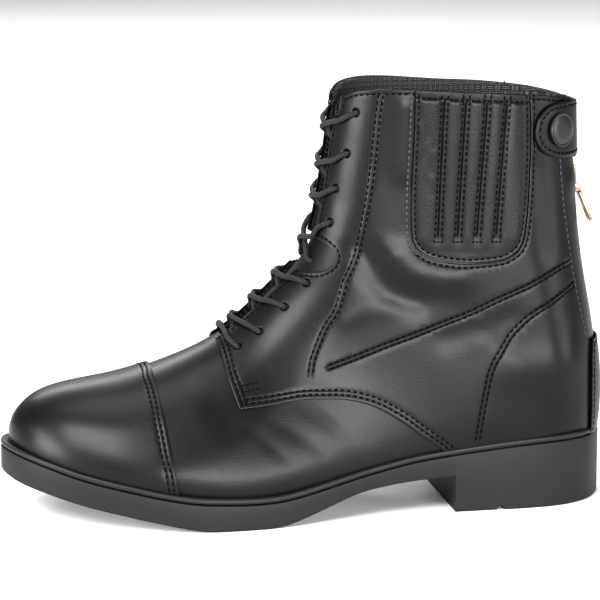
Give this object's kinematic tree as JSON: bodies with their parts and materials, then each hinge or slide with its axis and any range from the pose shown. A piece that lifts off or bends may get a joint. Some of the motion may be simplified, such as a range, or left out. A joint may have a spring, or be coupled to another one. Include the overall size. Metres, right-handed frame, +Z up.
{
  "type": "paddock boot",
  "caption": "Ankle-high leather riding boot with front lacing, side stretch panels, toe cap, low heel and a back zip under a snap tab.",
  "frame": {"origin": "middle of the underside of the bounding box, on the floor", "axes": "+X from toe to heel, +Y towards the inner side of the foot, +Z up"},
  "size_m": [0.2864, 0.0978, 0.1987],
  "materials": {
    "outsole": "matte black moulded rubber",
    "welt": "matte black strip",
    "upper": "smooth black leather, soft gloss",
    "insole": "black footbed cloth",
    "tongue": "smooth black leather",
    "toe_cap": "smooth black leather, soft gloss",
    "quarter": "smooth black leather, soft gloss",
    "stretch_panel": "pleated black leather",
    "backstay": "smooth black leather",
    "snap_tab": "smooth black leather",
    "snap_cap": "matte black snap cap",
    "zip_tape": "black zip tape and coil",
    "zip_metal": "pale brass",
    "lace": "round braided black lace"
  },
  "bodies": {
    "boot": {"outsole": "outsole", "welt": "welt", "upper": "upper", "insole": "insole", "tongue": "tongue", "toe_cap": "toe_cap", "quarter_lateral": "quarter", "quarter_medial": "quarter", "stretch_panel_lateral": "stretch_panel", "stretch_panel_medial": "stretch_panel", "backstay": "backstay", "snap_tab": "snap_tab", "snap_cap": "snap_cap", "zip_tape": "zip_tape", "zip_slider": "zip_metal", "lace_crossing_1": "lace", "lace_crossing_2": "lace", "lace_crossing_3": "lace", "lace_crossing_4": "lace", "lace_crossing_5": "lace", "lace_crossing_6": "lace", "lace_crossing_7": "lace", "lace_bar": "lace"},
    "pull": {"zip_pull": "zip_metal"}
  },
  "joints": [
    {"name": "pull_swing", "type": "hinge", "parent": "boot", "child": "pull", "pos_m": [0.13061, 0.00135, 0.1473], "axis": [0, -1, 0], "range_deg": [-18, 130]}
  ]
}
